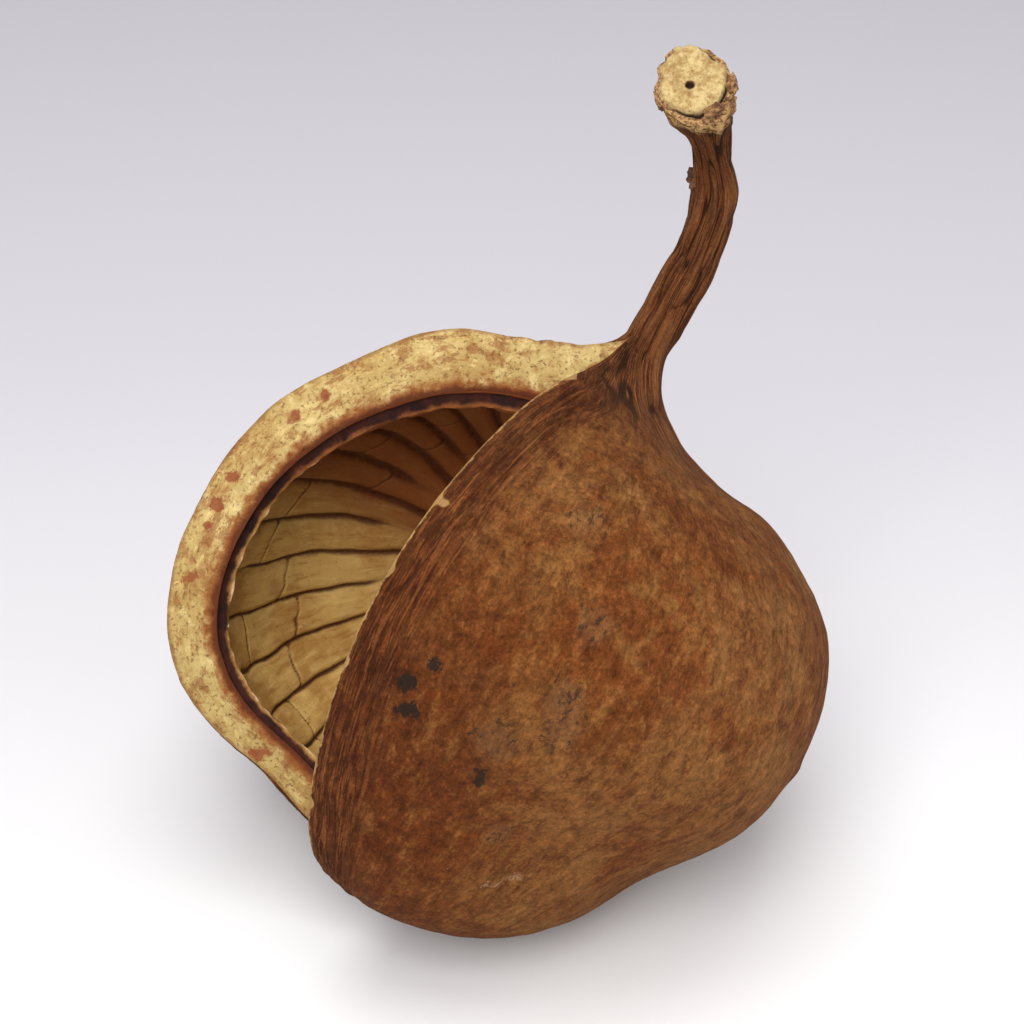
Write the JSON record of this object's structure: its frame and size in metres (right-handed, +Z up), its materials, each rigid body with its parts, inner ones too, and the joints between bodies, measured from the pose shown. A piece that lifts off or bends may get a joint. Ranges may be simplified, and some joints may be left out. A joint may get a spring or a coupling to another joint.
{
  "type": "dried seed pod",
  "caption": "Dried round woody seed pod, split open along one side, with thick pale lips, a ribbed hollow and a curved stalk.",
  "frame": {"origin": "on the surface the pod lies on, under the middle of its bounding box", "axes": "+Z up, -Y towards the side of the near valve, +X towards the side the stalk leans to"},
  "size_m": [0.1368, 0.1302, 0.1651],
  "materials": {
    "shell": "dry, matt and velvety brown skin over pale wood"
  },
  "bodies": {
    "root": {"pod": "shell"}
  },
  "joints": []
}
